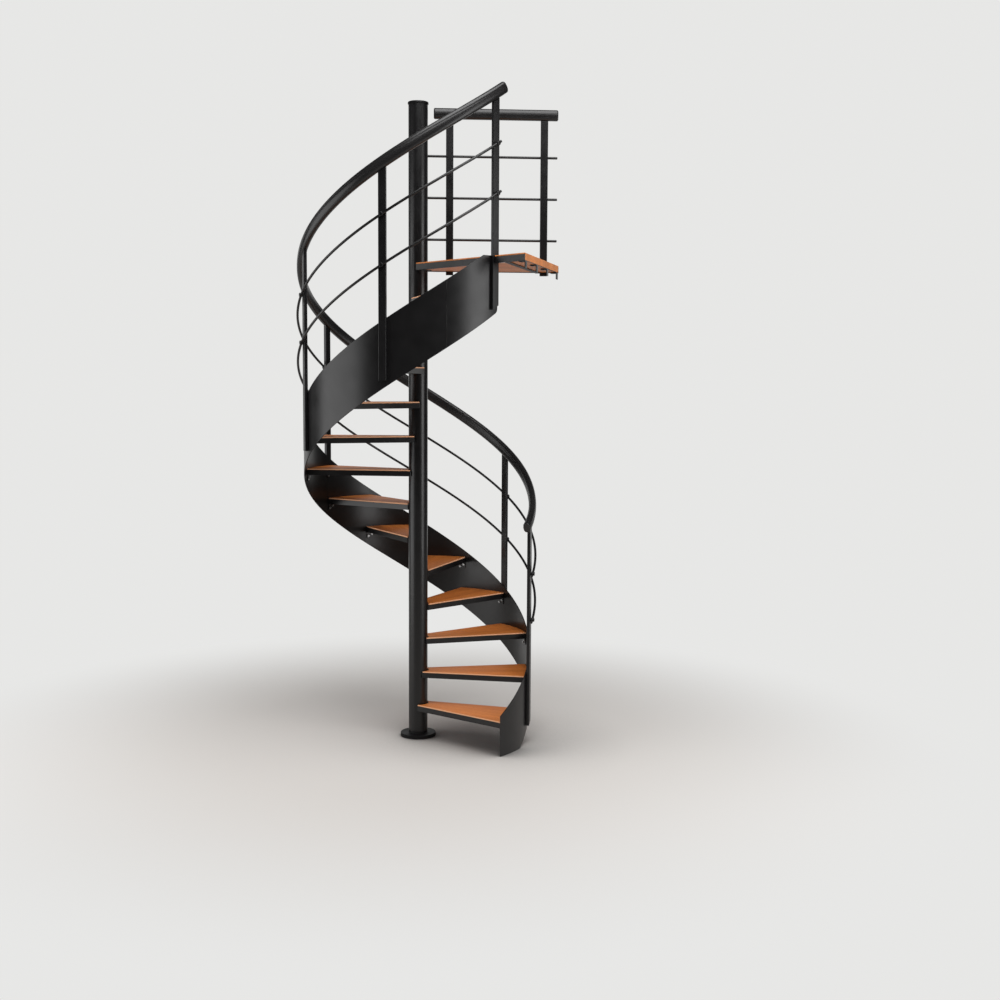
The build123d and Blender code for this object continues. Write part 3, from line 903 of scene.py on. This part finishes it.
def moulded_rail(name):
    """Black moulded plastic with a satin skin, a little cloudy and finely grained."""
    material, tree, shader = new_material(name)
    place = put(tree, "ShaderNodeTexCoord").outputs["Object"]
    cloud = noise(tree, place, scale=5.0, detail=4.0)
    grain = noise(tree, place, scale=900.0, detail=2.0)
    color = blended(tree, spread(tree, cloud, 0.0, 1.0), rail_dark, rail_light)
    tree.links.new(color, shader.inputs["Base Color"])
    tree.links.new(spread(tree, cloud, 0.30, 0.38), shader.inputs["Roughness"])
    bump = bumped(tree, strength=0.03, distance=0.0002, height=grain)
    tree.links.new(bump, shader.inputs["Normal"])
    return material


rail_black = moulded_rail("satin_black_moulded_rail")
handrail = along_climb(
    "stair_handrail", rail_outline(), post_radius, (rail_start, rail_end - rail_trim / post_radius),
    (guard_height, guard_loss), rail_black, rail_steps, lift=rail_end_lift, bevel=rail_cap,
    segments=5, limit=70.0,
)
piece("stair_handrail", handrail, rail_black, ["handrail"], crease=50.0)

# Stair rods
# Two round steel rods with domed ends follow the climb outside the posts. They are rolled to the
# stair's curve and coated like the rest.
rod_radius = 0.0075
rod_dome = 0.0038
rod_standoff = 0.0105
rod_overhang = 0.027
rod_path_radius = stair_radius + seat + post_depth + rod_standoff
rod_lines = {"lower_rod": (0.3435, 0.006), "upper_rod": (0.628, 0.013)}
rod_sides = 20
rod_steps = 300
rod_turns = [2 * pi * (k + 0.5) / rod_sides for k in range(rod_sides)]
rod_outline = [(rod_radius * cos(turned_by), rod_radius * sin(turned_by)) for turned_by in rod_turns]
for node, line in rod_lines.items():
    overhang = rod_overhang / rod_path_radius
    ends = (first_post - overhang, last_post + overhang)
    rod = along_climb(
        f"stair_{node}", rod_outline, rod_path_radius, ends, line, black_steel, rod_steps,
        bevel=rod_dome, segments=3, limit=70.0,
    )
    piece(f"stair_{node}", rod, black_steel, [node])

# Rod holders
# Each rod passes through a short round holder on the face of every post. The holder is screwed on
# from its rounded outer end.
holder_radius = 0.012
holder_length = rod_standoff + 0.0125
holder_rounding = 0.0025
holder_sides = 28
socket_mouth = 0.0035
socket_radius = 0.0030
socket_depth = 0.002


def holder(place):
    """A round holder that stands on a place's XY plane, with a rounded end and a socket screw."""
    straight = holder_length - holder_rounding
    socket_floor = holder_length - socket_depth
    outline = [(0.0, 0.0), (holder_radius, 0.0), (holder_radius, straight)]
    outline += arc((holder_radius - holder_rounding, straight), holder_rounding, 0, 90, 4)[1:]
    outline += [(socket_mouth, holder_length), (socket_radius, socket_floor), (0.0, socket_floor)]
    shape = turned(outline, sides=holder_sides)
    bmesh.ops.transform(shape, matrix=place, verts=shape.verts)
    return as_mesh("holder_shape", shape)


holder_rows = []
for line in rod_lines.values():
    start_height = guard_line(first_post, *line)
    place = Matrix.Rotation(first_post, 4, "Z")
    place @= Matrix.Translation((post_radius + post_depth / 2, 0, start_height))
    place @= Matrix.Rotation(pi / 2, 4, "Y")
    lift = (guard_line(last_post, *line) - start_height) / (post_count - 1)
    holder_rows.append(climb(
        "holder_row", holder(place), post_count, post_treads * tread_turn, lift, black_steel
    ))
piece("stair_rod_holders", joined("stair_rod_holders", holder_rows), black_steel,
      ["rod_clamps"])

# Landing frame
# The top landing hangs in a frame like a tread's: two flanges with a ledge, a saddle and a flat
# cross bar under the board. Four angle cleats along its open edge bolt to the upper floor.
for name, node in (("landing_steel", "landing_frame"), ("landing_cleats", "floor_cleats")):
    piece(name, merged_copy(node, name), black_steel, [node])

# Landing board
# A panel of the same oiled staves, which run along the landing's back edge. Its edges are eased,
# and it lies on the ledges of its frame.
landing_mesh = worked(
    "landing_panel", merged_copy("landing_board", "landing_panel"), bevel=board_edge, segments=3
)
lay_grain(landing_mesh, 0.0)
landing_wood = oiled_hardwood("oiled_landing_wood", highlight_strength=0.12)
piece("landing_panel", landing_mesh, landing_wood, ["landing_board"])

# Landing guard
# Two flat posts on the back flange carry three straight rods and a straight length of the moulded
# rail.
guard_posts = worked(
    "landing_guard_posts", merged_copy("landing_posts", "landing_guard_posts"), bevel=post_edge,
    limit=60.0,
)
piece("landing_guard_posts", guard_posts, black_steel, ["landing_posts"])


def straight_bar(name, outline, start, length, cap, segments):
    """A bar along X with an outline in Y and Z, and rounded ends."""
    shape = slab(outline, 0.0, length)
    along_x = Matrix(((0, 0, 1, 0), (1, 0, 0, 0), (0, 1, 0, 0), (0, 0, 0, 1)))
    bmesh.ops.transform(shape, matrix=Matrix.Translation(start) @ along_x, verts=shape.verts)
    return worked(name, as_mesh(name, shape), bevel=cap, segments=segments, limit=70.0)


rail_low, rail_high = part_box("landing_handrail")
rail_middle = (rail_low + rail_high) / 2
straight_rail = straight_bar(
    "landing_guard_rail", rail_outline(), (rail_low.x, rail_middle.y, rail_middle.z),
    rail_high.x - rail_low.x, cap=rail_cap, segments=5,
)
piece("landing_guard_rail", straight_rail, rail_black, ["landing_handrail"],
      crease=50.0)
rods_low, rods_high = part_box("landing_rods")
rod_line = (rods_low.y + rods_high.y) / 2
guard_rod_heights = [0.155, 0.408, 0.660]
guard_rods = []
for height in guard_rod_heights:
    guard_rods.append(straight_bar(
        "guard_rod", rod_outline, (rods_low.x, rod_line, landing_level + height),
        rods_high.x - rods_low.x, cap=rod_dome, segments=3,
    ))
piece("landing_guard_rods", joined("landing_guard_rods", guard_rods), black_steel,
      ["landing_rods"])
guard_post_places = [0.193, 0.774]
post_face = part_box("landing_posts")[1].y
backward = Matrix.Rotation(-pi / 2, 4, "X")
guard_holders = [
    holder(Matrix.Translation((along, post_face, landing_level + height)) @ backward)
    for along in guard_post_places for height in guard_rod_heights
]
piece("landing_rod_holders", joined("landing_rod_holders", guard_holders), black_steel,
      ["landing_clamps"])

# Floor, light and view
# A pale floor under soft studio light: a wide one on the left, a narrower one to the right of the
# camera and a broad one overhead. Mirrored in the coat, the backdrop is pale only behind the stair.
# Near the stair, the floor as the camera sees it carries a painted shadow.
backdrop_color = (0.80, 0.80, 0.79, 1)
ambient_gray = (0.46, 0.46, 0.46, 1)
floor_dark = (0.44, 0.415, 0.39, 1)
floor_light = (0.47, 0.445, 0.42, 1)
floor_seen = (0.58, 0.555, 0.53)
floor_radius = 9.0
floor_sides = 128
floor_drop = 0.0005
floor_fade = (1.1, 3.4)
shelter_reach = 0.7
shelter_samples = 8
shelter_share = (0.35, 0.97)
painted_shadow_share = (0.12, 1.0)
pale_edge = (0.70, 0.83)
dim_to_pale = (0.03, 1.0)
floor_shape = turned([(0.0, 0.0), (floor_radius, 0.0)], sides=floor_sides)
for face in floor_shape.faces:
    if face.normal.z < 0:
        face.normal_flip()
floor_mesh = as_mesh("floor", floor_shape)
floor_material, floor_tree, floor_shader = new_material("pale_floor")
floor_place = put(floor_tree, "ShaderNodeTexCoord").outputs["Object"]
floor_cloud = noise(floor_tree, floor_place, scale=0.8)
floor_color = blended(floor_tree, floor_cloud, floor_dark, floor_light)
seen = put(floor_tree, "ShaderNodeLightPath").outputs["Is Camera Ray"]
# Painted shadow: where ambient occlusion finds the stair near, the floor's colour for the camera is
# darkened.
shelter = put(
    floor_tree, "ShaderNodeAmbientOcclusion", {"Distance": shelter_reach}, samples=shelter_samples
)
painted_shadow = remapped(floor_tree, shelter.outputs["AO"], shelter_share, painted_shadow_share)
floor_color = blended(floor_tree, seen, floor_color, scaled(floor_tree, floor_seen, painted_shadow))
floor_tree.links.new(floor_color, floor_shader.inputs["Base Color"])
floor_shader.inputs["Roughness"].default_value = 0.7


def shown(tree, mirrored):
    """One for the camera's rays, and a share for those that metal and glass send on."""
    ray = put(tree, "ShaderNodeLightPath").outputs
    sent_on = math(tree, "ADD", ray["Is Glossy Ray"], ray["Is Transmission Ray"])
    return put(tree, "ShaderNodeMath", {0: sent_on, 1: mirrored, 2: ray["Is Camera Ray"]},
               operation="MULTIPLY_ADD").outputs[0]


def pale_side(tree, direction):
    """The share of the backdrop in a direction: pale behind the stair, and dim elsewhere."""
    depth = put(tree, "ShaderNodeSeparateXYZ", {0: direction}).outputs["Y"]
    return remapped(tree, depth, pale_edge, dim_to_pale)


far = put(floor_tree, "ShaderNodeVectorMath", {0: floor_place}, operation="LENGTH")
faded = remapped(
    floor_tree, far.outputs["Value"], floor_fade, (0.0, 1.0), interpolation_type="SMOOTHSTEP"
)
outward = put(floor_tree, "ShaderNodeVectorMath", {0: floor_place}, operation="NORMALIZE")
paleness = shown(floor_tree, pale_side(floor_tree, outward.outputs[0]))
distance = put(floor_tree, "ShaderNodeEmission", {"Color": backdrop_color, "Strength": 1.0})
floor_mix = put(floor_tree, "ShaderNodeMixShader", {
    0: math(floor_tree, "MULTIPLY", faded, paleness), 1: floor_shader.outputs[0],
    2: distance.outputs[0],
})
floor_end = floor_tree.nodes["Material Output"]
floor_tree.links.new(floor_mix.outputs[0], floor_end.inputs["Surface"])
floor_mesh.materials.append(floor_material)
floor = bpy.data.objects.new("floor", floor_mesh)
floor.location.z = -floor_drop
bpy.context.scene.collection.objects.link(floor)


def soft_light(name, place, target, width, height, power):
    """A rectangular light that faces a point."""
    data = bpy.data.lights.new(name, "AREA")
    data.shape = "RECTANGLE"
    data.size = width
    data.size_y = height
    data.energy = power
    light = bpy.data.objects.new(name, data)
    direction = Vector(target) - Vector(place)
    light.matrix_world = (
        Matrix.Translation(place) @ direction.to_track_quat("-Z", "Y").to_matrix().to_4x4()
    )
    bpy.context.scene.collection.objects.link(light)


stair_middle = (0.0, 0.0, 1.8)
stair_foot = (0.0, 0.0, 1.0)
soft_light("left_softbox", (-3.9, -0.8, 2.0), stair_middle, width=3.7, height=3.8, power=86.0)
soft_light("right_softbox", (3.94, -2.56, 2.3), stair_middle, width=2.0, height=3.8, power=84.0)
soft_light("overhead", (0.6, -2.4, 6.5), stair_foot, width=4.0, height=4.0, power=265.0)

world = bpy.data.worlds.new("studio")
bpy.context.scene.world = world
world.use_nodes = True
sky = world.node_tree
sky.nodes.clear()
toward = put(sky, "ShaderNodeTexCoord").outputs["Generated"]
ambient = put(sky, "ShaderNodeBackground", {"Color": ambient_gray, "Strength": 1.0})
backdrop = put(
    sky, "ShaderNodeBackground",
    {"Color": backdrop_color, "Strength": shown(sky, pale_side(sky, toward))},
)
both = put(sky, "ShaderNodeMixShader",
           {0: shown(sky, 1.0), 1: ambient.outputs[0], 2: backdrop.outputs[0]})
put(sky, "ShaderNodeOutputWorld", {"Surface": both.outputs[0]})
bpy.context.scene.view_settings.view_transform = "Standard"
